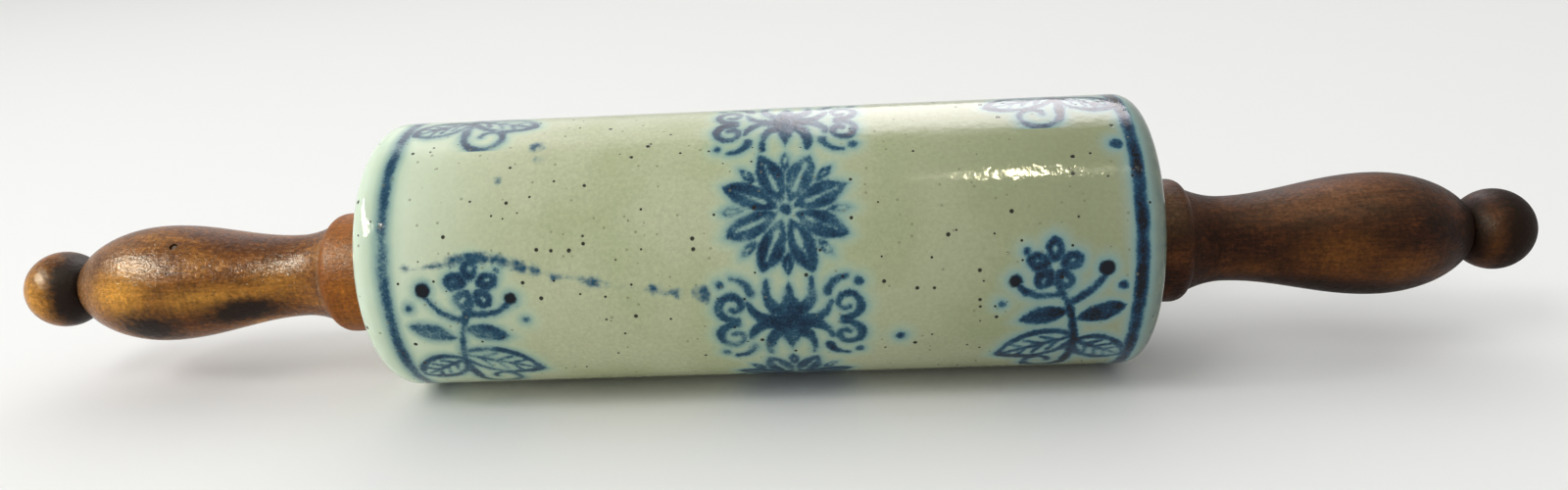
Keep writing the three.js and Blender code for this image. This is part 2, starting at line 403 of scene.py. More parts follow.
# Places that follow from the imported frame
barrel_low, barrel_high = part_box("stoneware_barrel")
rod_low, rod_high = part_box("axle_rod")
spin = next(joint for joint in frame["joints"] if joint["name"] == "barrel_spin")
barrel_middle = spin["pos_m"][0] / MM
barrel_axis_height = spin["pos_m"][2] / MM
barrel_half = (barrel_high.x - barrel_low.x) / 2 / MM
barrel_radius = (barrel_high.z - barrel_low.z) / 2 / MM
rod_axis_height = (rod_low.z + rod_high.z) / 2 / MM
rod_radius = (rod_high.z - rod_low.z) / 2 / MM
rod_end = rod_high.x / MM
collar_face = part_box("right_handle")[0].x / MM


def srgb(colour):
    """A colour from 0 to 255 as the linear values that nodes take."""
    shares = [part / 255 for part in colour]
    linear = [s / 12.92 if s <= 0.04045 else ((s + 0.055) / 1.055) ** 2.4 for s in shares]
    return (*linear, 1.0)


# Camera


def make_camera():
    """The camera at the photograph's viewing angle."""
    pan = math.radians(CAMERA_PAN)
    tilt = math.radians(CAMERA_TILT)
    roll = math.radians(CAMERA_ROLL)
    forward = Vector((math.sin(pan) * math.cos(tilt), math.cos(pan) * math.cos(tilt), math.sin(tilt)))
    level = forward.cross(Vector((0, 0, 1))).normalized()
    upright = level.cross(forward)
    right = math.cos(roll) * level + math.sin(roll) * upright
    up = math.cos(roll) * upright - math.sin(roll) * level
    camera = bpy.data.objects.new("camera", bpy.data.cameras.new("camera"))
    camera.data.sensor_width = SENSOR_WIDTH
    camera.data.lens = SENSOR_WIDTH * FOCAL_PIXELS / IMAGE_WIDTH
    camera.data.clip_start = CAMERA_NEAR * MM
    turn = Matrix((right, up, -forward)).transposed().to_4x4()
    camera.matrix_world = Matrix.Translation(Vector(CAMERA_AT) * MM) @ turn
    bpy.context.scene.collection.objects.link(camera)
    bpy.context.scene.camera = camera


# Meshes


def new_piece(name, mesh):
    """An object for a mesh, shaded smooth."""
    piece = bpy.data.objects.new(name, mesh)
    bpy.context.scene.collection.objects.link(piece)
    mesh.polygons.foreach_set("use_smooth", [True] * len(mesh.polygons))
    return piece


def turned_points(rings, sides):
    """Points in mm of a profile of (along, radius) rings, turned about the X axis."""
    along = np.array([ring[0] for ring in rings])
    radius = np.array([ring[1] for ring in rings])
    angle = np.linspace(-math.pi, math.pi, sides, endpoint=False)
    points = np.empty((len(rings), sides, 3))
    points[..., 0] = along[:, None]
    points[..., 1] = -radius[:, None] * np.cos(angle)
    points[..., 2] = radius[:, None] * np.sin(angle)
    return points.reshape(-1, 3)


def arc(along, radius, size, start, end, steps):
    """Points of a round in a profile, from one angle to another in degrees."""
    angles = np.radians(np.linspace(start, end, steps + 1))
    return [(along + size * math.cos(a), radius + size * math.sin(a)) for a in angles]


def spaced(start, end, step):
    """Places from start to just before end, about one step apart."""
    count = max(1, round((end - start) / step))
    return [start + (end - start) * i / count for i in range(count)]


def grid_faces(rings, sides, loop):
    """Corner numbers of the quads between rings of points, and each corner's place in the map."""
    spans = rings if loop else rings - 1
    ring, side = np.meshgrid(np.arange(spans), np.arange(sides), indexing="ij")
    next_ring = (ring + 1) % rings
    next_side = (side + 1) % sides
    corners = [ring * sides + side, next_ring * sides + side]
    corners += [next_ring * sides + next_side, ring * sides + next_side]
    corners = np.stack(corners, axis=-1)
    across = np.stack([side, side, side + 1, side + 1], axis=-1) / sides
    down = np.stack([ring, ring + 1, ring + 1, ring], axis=-1)
    return corners.reshape(-1, 4), across.reshape(-1), down.reshape(-1)


def profile_lengths(rings, loop):
    """Share of the profile's length at each ring, and at the end of a loop."""
    points = np.array(rings + rings[:1] if loop else rings)
    steps = np.hypot(*np.diff(points, axis=0).T)
    lengths = np.concatenate([[0.0], np.cumsum(steps)])
    return lengths / lengths[-1]


def mesh_from(name, points, corners, across, lengths):
    """A mesh of quads with a map that fills the square."""
    mesh = bpy.data.meshes.new(name)
    mesh.from_pydata((points * MM).tolist(), [], corners.tolist())
    layer = mesh.uv_layers.new(name="OFBake")
    layer.data.foreach_set("uv", np.stack([across, lengths], axis=-1).ravel().astype(np.float32))
    mesh.update()
    return mesh


def paint(mesh, name, values):
    """Keeps a number for each point of a mesh, for its material to read."""
    attribute = mesh.attributes.new(name, "FLOAT", "POINT")
    attribute.data.foreach_set("value", np.asarray(values, np.float32).ravel())


def mesh_points(mesh):
    """A mesh's points in mm."""
    flat = np.empty(len(mesh.vertices) * 3)
    mesh.vertices.foreach_get("co", flat)
    return flat.reshape(-1, 3) / MM


# Brush marks: signed distances in mm on the unrolled skin, below nothing inside a mark


def joined(*marks):
    """Marks that are painted together."""
    return reduce(np.minimum, marks)


def disc(a, b, at, radius):
    """A round spot."""
    return np.hypot(a - at[0], b - at[1]) - radius


def blots(a, b, points):
    """A mark through points of (place, place, half-width)."""
    best = np.full(a.shape, FAR_AWAY)
    for (x, y, start), (next_x, next_y, end) in zip(points, points[1:]):
        dx = next_x - x
        dy = next_y - y
        share = np.clip(((a - x) * dx + (b - y) * dy) / (dx * dx + dy * dy), 0, 1)
        gap = np.hypot(a - x - share * dx, b - y - share * dy)
        best = np.minimum(best, gap - start - (end - start) * share)
    return best


def stroke(a, b, path, start_width, end_width):
    """A brush stroke along a path, whose half-width changes from its start to its end."""
    widths = np.linspace(start_width, end_width, len(path))
    return blots(a, b, [(x, y, width) for (x, y), width in zip(path, widths)])


def leaf_frame(a, b, root, tip):
    """Places along a leaf from its root and across it, and its length."""
    length = math.hypot(tip[0] - root[0], tip[1] - root[1])
    cos = (tip[0] - root[0]) / length
    sin = (tip[1] - root[1]) / length
    along = (a - root[0]) * cos + (b - root[1]) * sin
    across = (b - root[1]) * cos - (a - root[0]) * sin
    return along, across, length


def leaf(a, b, root, tip, half_width):
    """A pointed leaf between two arcs."""
    along, across, length = leaf_frame(a, b, root, tip)
    radius = (length * length / 4 + half_width * half_width) / (2 * half_width)
    return np.hypot(along - length / 2, np.abs(across) + radius - half_width) - radius


def veined_leaf(a, b, root, tip, half_width):
    """A leaf drawn by its outline, midrib and side veins."""
    along, across, length = leaf_frame(a, b, root, tip)
    edge = leaf(a, b, root, tip, half_width)
    ribs = stroke(a, b, [root, tip], *LEAF_RIB)
    for share in LEAF_VEIN_SHARES:
        vein_tip = ((share + LEAF_VEIN_LEAN) * length, LEAF_VEIN_REACH * half_width)
        vein = [(share * length, 0.0), vein_tip]
        ribs = np.minimum(ribs, stroke(along, np.abs(across), vein, *LEAF_VEIN))
    return np.minimum(np.abs(edge) - LEAF_OUTLINE, np.maximum(ribs, edge))


def bend(start, middle, end):
    """A path that bends from start to end towards a middle point."""
    path = []
    for step in range(BEND_STEPS + 1):
        t = step / BEND_STEPS
        weights = ((1 - t) ** 2, 2 * t * (1 - t), t * t)
        path.append(tuple(sum(w * p[i] for w, p in zip(weights, (start, middle, end))) for i in (0, 1)))
    return path


def curl(centre, radius, start, turns, end_share):
    """A path that winds in to a share of its radius, starting at an angle in degrees."""
    path = []
    for step in range(CURL_STEPS + 1):
        t = step / CURL_STEPS
        angle = math.radians(start) + math.tau * turns * t
        reach = radius * (1 - (1 - end_share) * t)
        path.append((centre[0] + reach * math.cos(angle), centre[1] + reach * math.sin(angle)))
    return path


def petals(a, b, count, turn, root, tip, half_width):
    """A ring of pointed petals, each parted by a vein."""
    sector = math.tau / count
    angle = np.arctan2(b, a) - turn
    folded = (angle + sector / 2) % sector - sector / 2
    reach = np.hypot(a, b)
    along = reach * np.cos(folded)
    across = reach * np.sin(folded)
    blade = leaf(along, across, (root, 0.0), (tip, 0.0), half_width)
    vein_path = [(root + PETAL_VEIN_INSET, 0.0), (tip - PETAL_VEIN_INSET, 0.0)]
    return np.maximum(blade, -stroke(along, across, vein_path, *PETAL_VEIN))


def rosette(a, b):
    """A flower of eight parted petals, with sepals between their tips and a dot for its heart."""
    flower = petals(a, b, ROSETTE_COUNT, math.pi / ROSETTE_COUNT, *ROSETTE_PETAL)
    sepals = petals(a, b, ROSETTE_COUNT, 0.0, *ROSETTE_SEPAL)
    return joined(flower, sepals, disc(a, b, (0.0, 0.0), ROSETTE_HEART))


def palmette(a, b):
    """A bud between comma leaves, the same to both sides and up and down, with curls at its sides."""
    side = np.abs(a)
    height = np.abs(b)
    marks = [stroke(side, height, bend(*path), *widths) for path, widths in PALMETTE_STROKES]
    marks.append(leaf(side, height, *PALMETTE_BUD))
    marks.append(stroke(side, height, curl(*PALMETTE_CURL), *PALMETTE_CURL_WIDTH))
    marks.append(disc(side, height, *PALMETTE_DOT))
    return joined(*marks)


def sprig(a, b):
    """A leafy sprig with a five-petalled blossom and berries, growing up round the barrel."""
    marks = [stroke(a, b, bend(*path), *widths) for path, widths in SPRIG_STEMS]
    marks += [veined_leaf(a, b, *shape) for shape in SPRIG_VEINED_LEAVES]
    marks += [leaf(a, b, *shape) for shape in SPRIG_FULL_LEAVES]
    marks += [disc(a, b, *spot) for spot in SPRIG_DOTS]
    marks.append(stroke(a, b, curl(*SPRIG_CURL), *SPRIG_CURL_WIDTH))
    upright = math.tau / 4
    blossom = petals(a - BLOSSOM_AT[0], b - BLOSSOM_AT[1], BLOSSOM_COUNT, upright, *BLOSSOM_PETAL)
    return joined(*marks, blossom, sprig_berries(a, b))


def sprig_berries(a, b):
    """The heavy drops at the ends of a sprig's side stems."""
    return joined(*(disc(a, b, *spot) for spot in SPRIG_BERRIES))


def round_from(angle, start):
    """Arc length in mm from a place round the barrel, the short way."""
    return ((angle - math.radians(start) + math.pi) % math.tau - math.pi) * barrel_radius


def add_motif(marks, motif, a, b):
    """Joins a motif to the painting near its middle."""
    near = (np.abs(a) < MOTIF_REACH) & (np.abs(b) < MOTIF_REACH)
    marks[near] = np.minimum(marks[near], motif(a[near], b[near]))


def dots(along, angle, spots):
    """Round spots at places along the barrel and round it."""
    marks = []
    for at, turn, radius in spots:
        marks.append(np.hypot(along - at, round_from(angle, turn)) - radius)
    return joined(*marks)


def painting(along, angle):
    """Distances to the cobalt painting and to its heaviest drops."""
    cobalt = np.full(along.shape, FAR_AWAY)
    drops = np.full(along.shape, FAR_AWAY)
    for repeat in range(BAND_REPEATS):
        turn = BAND_START + 360 / BAND_REPEATS * repeat
        add_motif(cobalt, rosette, along - BAND_AT, round_from(angle, turn))
        add_motif(cobalt, palmette, along - BAND_AT, round_from(angle, turn + 180 / BAND_REPEATS))
    for at in SPRIG_AT:
        inwards = -math.copysign(1.0, at)
        for repeat in range(SPRIG_REPEATS):
            a = (along - at) * inwards
            b = round_from(angle, SPRIG_START + 360 / SPRIG_REPEATS * repeat)
            add_motif(cobalt, sprig, a, b)
            add_motif(drops, sprig_berries, a, b)
    return joined(cobalt, dots(along, angle, STRAY_DOTS)), drops


def stripes(along):
    """Distance to the stripes round the ends."""
    return joined(*(np.abs(along - at) for at in STRIPES)) - STRIPE_HALF_WIDTH


def smear(along, angle):
    """Distance to the smear that a loaded brush left, and to the faint dots beside it."""
    points = [(at, math.radians(turn) * barrel_radius, width) for at, turn, width in SMEAR]
    return joined(blots(along, round_from(angle, 0.0), points), dots(along, angle, FAINT_DOTS))


# The barrel


def bore_radius():
    """The bore's radius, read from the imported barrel."""
    points = mesh_points(frame["nodes"]["stoneware_barrel"].data)
    return float(np.hypot(points[:, 1], points[:, 2] - barrel_axis_height).min())


def barrel_rings():
    """The barrel's profile as a loop: outside, right end, bore, left end."""
    straight = barrel_half - SHOULDER_RADIUS
    edges = [-straight]
    for low, high in PAINTED_SPANS:
        edges += [low, high]
    edges.append(straight)
    skin = []
    for i in range(len(edges) - 1):
        skin += spaced(edges[i], edges[i + 1], PAINTED_STEP if i % 2 else PLAIN_STEP)
    rings = [(at, barrel_radius) for at in skin]
    inner = bore_radius() + LIP_RADIUS
    outer = barrel_radius - SHOULDER_RADIUS
    rings += arc(straight, outer, SHOULDER_RADIUS, 90, 0, SHOULDER_STEPS)
    rings += [(barrel_half, r) for r in spaced(outer, inner, (outer - inner) / FACE_STEPS)[1:]]
    rings += arc(barrel_half - LIP_RADIUS, inner, LIP_RADIUS, 0, -90, LIP_STEPS)
    reach = barrel_half - LIP_RADIUS
    rings += [(at, bore_radius()) for at in spaced(reach, -reach, 2 * reach / BORE_STEPS)[1:]]
    rings += arc(-reach, inner, LIP_RADIUS, -90, -180, LIP_STEPS)
    rings += [(-barrel_half, r) for r in spaced(inner, outer, (outer - inner) / FACE_STEPS)[1:]]
    rings += arc(-straight, outer, SHOULDER_RADIUS, 180, 90, SHOULDER_STEPS)[:-1]
    return rings


def sunk_glaze(along, angle, radius):
    """How far the wavy glaze lies below the barrel's true skin."""
    waves = sum(np.sin(along / length + turns * angle + start) for length, turns, start in GLAZE_WAVES)
    skin = np.clip((radius - barrel_radius + SHOULDER_RADIUS) / SHOULDER_RADIUS, 0, 1)
    return WAVINESS * (waves / (2 * len(GLAZE_WAVES)) + 0.5) * skin


def paint_barrel(mesh, along, angle, radius):
    """Keeps on the barrel's points the distances to the brush marks, and how the glaze changes with painted
    light and shade.
    """
    cobalt, drops = painting(along, angle)
    marks = {"cobalt": cobalt, "drops": drops, "smear": smear(along, angle), "stripes": stripes(along)}
    off_skin = radius < barrel_radius - SHOULDER_RADIUS
    for name, distance in marks.items():
        paint(mesh, name, np.where(off_skin, FAR_AWAY, np.clip(distance, -FAR_AWAY, FAR_AWAY)))
    # Paler where the glaze pooled at the left end, and painted light over the left part
    paint(mesh, "ends", np.clip((PALER_AND_LIT_FROM - along) / PALER_AND_LIT_OVER, 0, 1))
    # Painted shade, growing towards the right
    paint(mesh, "painted_shade", np.clip((along - PAINTED_SHADE_FROM) / PAINTED_SHADE_OVER, 0, 1) ** 2)
    # Painted shade over the right end
    paint(mesh, "painted_shade_right_end", np.clip((along - RIGHT_END_SHADE_FROM) / RIGHT_END_SHADE_OVER, 0, 1))
    paint(mesh, "bare", np.clip((bore_radius() + LIP_RADIUS - radius) / LIP_RADIUS, 0, 1))


def make_barrel():
    """The glazed barrel, with its painting kept on its points."""
    rings = barrel_rings()
    points = turned_points(rings, BARREL_SIDES)
    corners, across, down = grid_faces(len(rings), BARREL_SIDES, loop=True)
    lengths = profile_lengths(rings, loop=True)[down]
    along = points[:, 0].copy()
    angle = np.arctan2(points[:, 2], -points[:, 1])
    radius = np.hypot(points[:, 1], points[:, 2])
    points[:, 1:] *= (1 - sunk_glaze(along, angle, radius) / radius)[:, None]
    points += (barrel_middle, 0.0, barrel_axis_height)
    mesh = mesh_from("stoneware_barrel_glazed", points, corners, across, lengths)
    paint_barrel(mesh, along, angle, radius)
    piece = new_piece("stoneware_barrel_glazed", mesh)
    piece.data.materials.append(glaze())
    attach(piece, "barrel")
    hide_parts("stoneware_barrel")


# The handles


def collar_rings(neck_at):
    """A handle's profile from the rod to the crease beside its collar."""
    rounding = COLLAR_ROUNDING
    face = np.linspace(rod_radius, COLLAR_RADIUS - rounding, COLLAR_FACE_STEPS + 1)[:-1]
    rings = [(0.0, r) for r in face]
    rings += arc(rounding, COLLAR_RADIUS - rounding, rounding, 180, 90, CORNER_STEPS)
    rings += [(at, COLLAR_RADIUS) for at in spaced(rounding, COLLAR_BAND, COLLAR_STEP)[1:]]
    fall = COLLAR_RADIUS - COLLAR_FOOT_RADIUS
    for turn in np.linspace(0, math.pi / 2, CURVE_STEPS // 2):
        at = COLLAR_BAND + COLLAR_ROUND * math.sin(turn)
        rings.append((at, COLLAR_FOOT_RADIUS + fall * math.cos(turn)))
    rings.append((neck_at + CREASE_WIDTH / 2, COLLAR_FOOT_RADIUS - CREASE_DEPTH))
    return rings


def handle_rings():
    """A handle's profile from its collar's face to its ball, and where the ball's tip is."""
    neck_at = COLLAR_BAND + COLLAR_ROUND
    waist_at = neck_at + NECK_LENGTH
    widest_at = waist_at + SWELL_LENGTH
    rim_at = widest_at + TAPER_LENGTH
    groove_at = rim_at + GROOVE_LENGTH
    bulb_reach = TAPER_LENGTH / math.sqrt(1 - (BULB_RIM_RADIUS / BULB_RADIUS) ** 2)
    ball_start = math.pi - math.asin(GROOVE_RADIUS / BALL_RADIUS)
    ball_at = groove_at - BALL_REACH * math.cos(ball_start)
    rings = collar_rings(neck_at)
    shares = np.linspace(0, 1, CURVE_STEPS + 1)
    for t in shares[NECK_FIRST::NECK_STRIDE]:
        drawn_in = (COLLAR_FOOT_RADIUS - WAIST_RADIUS) * (1 - t) ** 2
        rings.append((neck_at + NECK_LENGTH * t, WAIST_RADIUS + drawn_in))
    for t in shares[1:]:
        swell = 0.5 - 0.5 * math.cos(math.pi * t)
        rings.append((waist_at + SWELL_LENGTH * t, WAIST_RADIUS + (BULB_RADIUS - WAIST_RADIUS) * swell))
    for t in shares[1:]:
        at = TAPER_LENGTH * t
        rings.append((widest_at + at, BULB_RADIUS * math.sqrt(1 - (at / bulb_reach) ** 2)))
    for t in GROOVE_SHARES:
        rings.append((rim_at + GROOVE_LENGTH * t, BULB_RIM_RADIUS + (GROOVE_RADIUS - BULB_RIM_RADIUS) * t))
    for t in shares[:-1]:
        angle = ball_start * (1 - t)
        rings.append((ball_at + BALL_REACH * math.cos(angle), BALL_RADIUS * math.sin(angle)))
    return rings, ball_at + BALL_REACH


def make_handle(node, side, drop, droop, material):
    """A turned handle, closed at both ends, then bored for its rod and its brad."""
    rings, tip = handle_rings()
    points = turned_points(rings, HANDLE_SIDES)
    corners, across, down = grid_faces(len(rings), HANDLE_SIDES, loop=False)
    lengths = profile_lengths(rings, loop=False)[down]
    mesh = mesh_from(node, points, corners, across, lengths)
    close_ends(mesh, len(rings), tip)
    turn = Matrix.Rotation(math.radians(droop), 4, "Y")
    about = Matrix.Rotation(math.pi if side < 0 else 0.0, 4, "Z")
    place = Matrix.Translation(Vector((side * collar_face, 0, rod_axis_height - drop)) * MM)
    mesh.transform(place @ about @ turn)
    piece = new_piece(node + "_turned", mesh)
    cut(piece, side)
    paint_handle(piece.data, side)
    piece.data.materials.clear()
    piece.data.materials.append(material)
    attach(piece, "handles")
    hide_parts(node)


def close_ends(mesh, rings, tip):
    """Closes a turned mesh over its first ring and with a point at its tip."""
    count = len(mesh.vertices)
    mesh.vertices.add(2)
    mesh.vertices[count].co = (0.0, 0.0, 0.0)
    mesh.vertices[count + 1].co = (tip * MM, 0.0, 0.0)
    faces = []
    last = (rings - 1) * HANDLE_SIDES
    for i in range(HANDLE_SIDES):
        after = (i + 1) % HANDLE_SIDES
        faces.append((count, i, after))
        faces.append((count + 1, last + after, last + i))
    loops = len(mesh.loops)
    polygons = len(mesh.polygons)
    mesh.loops.add(3 * len(faces))
    mesh.polygons.add(len(faces))
    for i, face in enumerate(faces):
        mesh.polygons[polygons + i].loop_start = loops + 3 * i
        for j, corner in enumerate(face):
            mesh.loops[loops + 3 * i + j].vertex_index = corner
    mesh.update(calc_edges=True)
    mesh.validate()


def cutter(name, radius, start, end, turn):
    """A plain rod to cut with, along X from start to end before it is turned into place."""
    sides = CUTTER_SIDES
    points = turned_points([(start, radius), (end, radius)], sides)
    faces = [(i, sides + i, sides + (i + 1) % sides, (i + 1) % sides) for i in range(sides)]
    faces.append(tuple(range(sides)))
    faces.append(tuple(reversed(range(sides, 2 * sides))))
    mesh = bpy.data.meshes.new(name)
    mesh.from_pydata((points * MM).tolist(), [], faces)
    mesh.transform(turn)
    mesh.update()
    tool = bpy.data.objects.new(name, mesh)
    bpy.context.scene.collection.objects.link(tool)
    return tool


def brad_frame(side):
    """Where a brad's line leaves the rod's axis, and the turn of X onto that line."""
    low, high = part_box("left_handle_brad" if side < 0 else "right_handle_brad")
    at = (low.x + high.x) / 2
    clock = math.radians(BRAD_CLOCK)
    outwards = Vector((0, side * math.cos(clock), math.sin(clock)))
    turn = Vector((1, 0, 0)).rotation_difference(outwards).to_matrix().to_4x4()
    return Matrix.Translation(Vector((at, 0, rod_axis_height * MM))) @ turn


def cut(piece, side):
    """Bores a handle for the rod's tenon and for its brad."""
    low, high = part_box("left_handle_brad")
    brad_radius = (high.x - low.x) / 2 / MM
    rod_line = Matrix.Translation(Vector((0, 0, rod_axis_height)) * MM)
    socket = sorted((side * (collar_face - SOCKET_OVERCUT), side * (rod_end + SOCKET_GAP)))
    tools = [
        cutter("socket_cutter", rod_radius + SOCKET_GAP, *socket, rod_line),
        cutter("brad_cutter", brad_radius + SOCKET_GAP, *BRAD_CUT, brad_frame(side)),
    ]
    for tool in tools:
        change = piece.modifiers.new(tool.name, "BOOLEAN")
        change.object = tool
        change.operation = "DIFFERENCE"
        change.solver = "EXACT"
    graph = bpy.context.evaluated_depsgraph_get()
    bored = bpy.data.meshes.new_from_object(piece.evaluated_get(graph))
    piece.modifiers.clear()
    piece.data = bored
    for tool in tools:
        bpy.data.objects.remove(tool)
    bored.polygons.foreach_set("use_smooth", [True] * len(bored.polygons))
    bored.set_sharp_from_angle(angle=math.radians(SHARP_ANGLE))


def paint_handle(mesh, side):
    """Keeps on each point of a handle its soiling with painted shade, its wear with painted light, its dull
    tan with painted sheen and highlight, and how fresh it is.
    """
    points = mesh_points(mesh)
    along = side * points[:, 0] - collar_face
    angle = np.degrees(np.arctan2(points[:, 2] - rod_axis_height, -points[:, 1]))
    for name, spots in (LEFT_WEAR_AND_PAINTED_LIGHT if side < 0 else RIGHT_WEAR_AND_PAINTED_LIGHT).items():
        amount = np.zeros(len(points))
        for at, turn, length, width, strength in spots:
            amount = np.maximum(amount, strength * smudge(along, angle, at, turn, length, width))
        paint(mesh, name, amount)
    paint(mesh, "fresh", np.clip(FRESH_COLLAR - along, 0, 1) * (side < 0))


def smudge(along, angle, at, turn, length, width):
    """A soft spot on a handle: along it in mm and round it in degrees."""
    return np.exp(-(((along - at) / length) ** 2) - (((angle - turn + 180) % 360 - 180) / width) ** 2)


# Nodes and materials


class Nodes:
    """A node tree under construction: each call adds a node and gives its output."""

    def __init__(self, tree):
        self.tree = tree

    def feed(self, socket, value):
        """Links a node's output to a socket, or sets the socket to a plain value."""
        if isinstance(value, bpy.types.NodeSocket):
            self.tree.links.new(value, socket)
        else:
            socket.default_value = value

    def add(self, kind, sockets, **settings):
        """A new node with its settings made and its sockets fed."""
        node = self.tree.nodes.new(kind)
        for name, value in settings.items():
            setattr(node, name, value)
        for key, value in sockets.items():
            self.feed(node.inputs[key], value)
        return node

    def math(self, operation, first, second):
        """A sum on two values."""
        return self.add("ShaderNodeMath", {0: first, 1: second}, operation=operation).outputs[0]

    def plus(self, first, second):
        """Two values added."""
        return self.math("ADD", first, second)

    def minus(self, first, second):
        """One value less another."""
        return self.math("SUBTRACT", first, second)

    def times(self, first, second):
        """Two values multiplied."""
        return self.math("MULTIPLY", first, second)

    def ranged(self, value, start, end, low=0.0, high=1.0, kind="LINEAR"):
        """Takes a value from one range to another."""
        sockets = {"Value": value, "From Min": start, "From Max": end, "To Min": low, "To Max": high}
        return self.add("ShaderNodeMapRange", sockets, interpolation_type=kind).outputs[0]

    def smooth(self, value, start, end, low=0.0):
        """Rises softly from low at start to one at end."""
        return self.ranged(value, start, end, low, kind="SMOOTHSTEP")


class Looks(Nodes):
    """The nodes of a material."""

    def __init__(self, name):
        self.material = bpy.data.materials.new(name)
        self.material.use_nodes = True
        super().__init__(self.material.node_tree)

    def spread(self, value, low, high):
        """Takes a noise from where most of it lies to a range of its own."""
        return self.ranged(value, *NOISE_BULK, low, high)

    def place(self, along=1.0, across=1.0, shift=(0.0, 0.0, 0.0)):
        """Places on the piece in mm, stretched along the pin and across it, and shifted."""
        here = self.add("ShaderNodeTexCoord", {}).outputs["Object"]
        sockets = {0: here, 1: [s / MM for s in (along, across, across)], 2: shift}
        return self.add("ShaderNodeVectorMath", sockets, operation="MULTIPLY_ADD").outputs[0]

    def noise(self, place, per_mm, detail=2.0, roughness=0.5):
        """A cloudy value from nothing to one, with so many clouds to a mm."""
        sockets = {"Vector": place, "Scale": per_mm, "Detail": detail, "Roughness": roughness}
        return self.add("ShaderNodeTexNoise", sockets).outputs["Fac"]

    def painted(self, name):
        """A number that the mesh keeps on its points."""
        return self.add("ShaderNodeAttribute", {}, attribute_name=name).outputs["Fac"]

    def blend(self, share, under, over, mode="MIX"):
        """A share of one colour over another."""
        sockets = {0: share, 6: under, 7: over}
        return self.add("ShaderNodeMix", sockets, data_type="RGBA", blend_type=mode).outputs[2]

    def ramp(self, share, positions, colours):
        """Colours in turn, each at its position."""
        node = self.add("ShaderNodeValToRGB", {0: share})
        elements = node.color_ramp.elements
        while len(elements) < len(colours):
            elements.new(0.5)
        for element, position, colour in zip(elements, positions, colours):
            element.position = position
            element.color = srgb(colour)
        return node.outputs["Color"]

    def specks(self, place, spacing, radius, share):
        """Spots scattered through the material, where they meet the surface."""
        cells = self.add("ShaderNodeTexVoronoi", {"Vector": place, "Scale": 1 / spacing})
        tint = self.add("ShaderNodeSeparateColor", {0: cells.outputs["Color"]}).outputs[0]
        chosen = self.math("LESS_THAN", tint, share)
        near = self.smooth(cells.outputs["Distance"], radius / spacing, SPECK_CORE * radius / spacing)
        return self.times(chosen, near)

    def bump(self, height):
        """A normal from a height in mm."""
        return self.add("ShaderNodeBump", {"Height": height, "Distance": MM}).outputs["Normal"]

    def finish(self, **sockets):
        """Feeds the shader and gives the material."""
        shader = self.tree.nodes["Principled BSDF"]
        for name, value in sockets.items():
            self.feed(shader.inputs[name.replace("_", " ")], value)
        return self.material


def glaze_body(looks, place, ends, painted_shade):
    """The glaze's colour: cloudy, mottled and pooled paler at its left end, with painted light and shade
    along it.
    """
    clouds = looks.smooth(looks.noise(place, per_mm=0.035, detail=3.0), start=0.35, end=0.65)
    colour = looks.blend(clouds, srgb(GLAZE_GREY), srgb(GLAZE_WARM))
    mottle = looks.noise(place, per_mm=0.9, detail=4.0, roughness=0.7)
    colour = looks.blend(1.0, colour, looks.spread(mottle, low=0.88, high=1.1), "MULTIPLY")
    # Painted light: cream over the left part
    colour = looks.blend(looks.times(ends, CREAM_PAINTED_LIGHT_SHARE), colour, srgb(GLAZE_CREAM_PAINTED_LIGHT))
    cloudy = looks.spread(looks.noise(place, per_mm=0.15), low=0.8, high=1.05)
    colour = looks.blend(looks.times(looks.times(ends, ends), cloudy), colour, srgb(GLAZE_PALE))
    # Painted shade towards the right
    colour = looks.blend(painted_shade, colour, srgb(GLAZE_IN_PAINTED_SHADE))
    # Painted shade over the right end, in patches
    patches = looks.spread(looks.noise(place, per_mm=0.35, detail=3.0), low=0.6, high=0.95)
    return looks.blend(looks.times(looks.painted("painted_shade_right_end"), patches), colour, srgb(GLAZE_RIGHT_END_SHADE))


